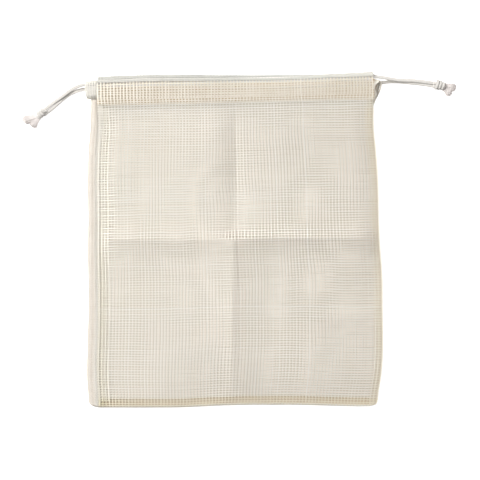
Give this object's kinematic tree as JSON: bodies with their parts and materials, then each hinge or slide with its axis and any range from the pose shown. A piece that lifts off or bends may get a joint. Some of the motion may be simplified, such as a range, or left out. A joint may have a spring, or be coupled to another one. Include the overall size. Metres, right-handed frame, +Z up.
{
  "type": "mesh produce bag",
  "caption": "Flat open-mesh cotton bag for fruit and vegetables, with a casing round the mouth that gathers shut on drawcords pulled from both sides",
  "frame": {"origin": "middle of the underside of the flat bag, measured without its loose cord ends", "axes": "+Z up off the surface the bag lies on, +Y towards the mouth, +X to the right looking down on the front"},
  "size_m": [0.4383, 0.3418, 0.0158],
  "materials": {
    "mesh_cotton": "open leno-woven unbleached cotton, matt",
    "sewing_thread": "twisted cotton sewing thread, matt",
    "braided_cord": "soft braided cotton, matt"
  },
  "bodies": {
    "bag": {"back_panel": "mesh_cotton", "front_panel": "mesh_cotton", "back_casing": "mesh_cotton", "front_casing": "mesh_cotton", "left_side_seam": "mesh_cotton", "right_side_seam": "mesh_cotton", "bottom_seam": "mesh_cotton", "back_hem_stitch": "sewing_thread", "front_hem_stitch": "sewing_thread", "left_seam_stitch": "sewing_thread", "right_seam_stitch": "sewing_thread", "bottom_seam_stitch": "sewing_thread"},
    "left_casing_end": {"left_casing_mouth": "mesh_cotton"},
    "right_casing_end": {"right_casing_mouth": "mesh_cotton"},
    "left_drawcord": {"left_cord_front_run": "braided_cord", "left_cord_back_run": "braided_cord", "left_cord_bend": "braided_cord", "left_cord_front_strand": "braided_cord", "left_cord_back_strand": "braided_cord", "left_cord_knot": "braided_cord", "left_cord_front_tail": "braided_cord", "left_cord_back_tail": "braided_cord"},
    "right_drawcord": {"right_cord_front_run": "braided_cord", "right_cord_back_run": "braided_cord", "right_cord_bend": "braided_cord", "right_cord_front_strand": "braided_cord", "right_cord_back_strand": "braided_cord", "right_cord_knot": "braided_cord", "right_cord_front_tail": "braided_cord", "right_cord_back_tail": "braided_cord"}
  },
  "joints": [
    {"name": "left_cord_pull", "type": "slide", "parent": "bag", "child": "left_drawcord", "axis": [-0.9997, -0.0236, 0], "range_m": [0, 0.11]},
    {"name": "right_end_gather", "type": "slide", "parent": "bag", "child": "right_casing_end", "axis": [-0.9997, -0.0236, 0], "range_m": [0, 0.11], "deforming": ["front_casing", "back_casing", "front_panel", "back_panel", "front_hem_stitch", "back_hem_stitch"]},
    {"name": "right_cord_pull", "type": "slide", "parent": "bag", "child": "right_drawcord", "axis": [0.9997, 0.0236, 0], "range_m": [0, 0.11]},
    {"name": "left_end_gather", "type": "slide", "parent": "bag", "child": "left_casing_end", "axis": [0.9997, 0.0236, 0], "range_m": [0, 0.11], "deforming": ["front_casing", "back_casing", "front_panel", "back_panel", "front_hem_stitch", "back_hem_stitch"]}
  ],
  "couplings": [
    {"joint": "right_end_gather", "follows": "left_cord_pull", "ratio": 1},
    {"joint": "left_end_gather", "follows": "right_cord_pull", "ratio": 1}
  ]
}
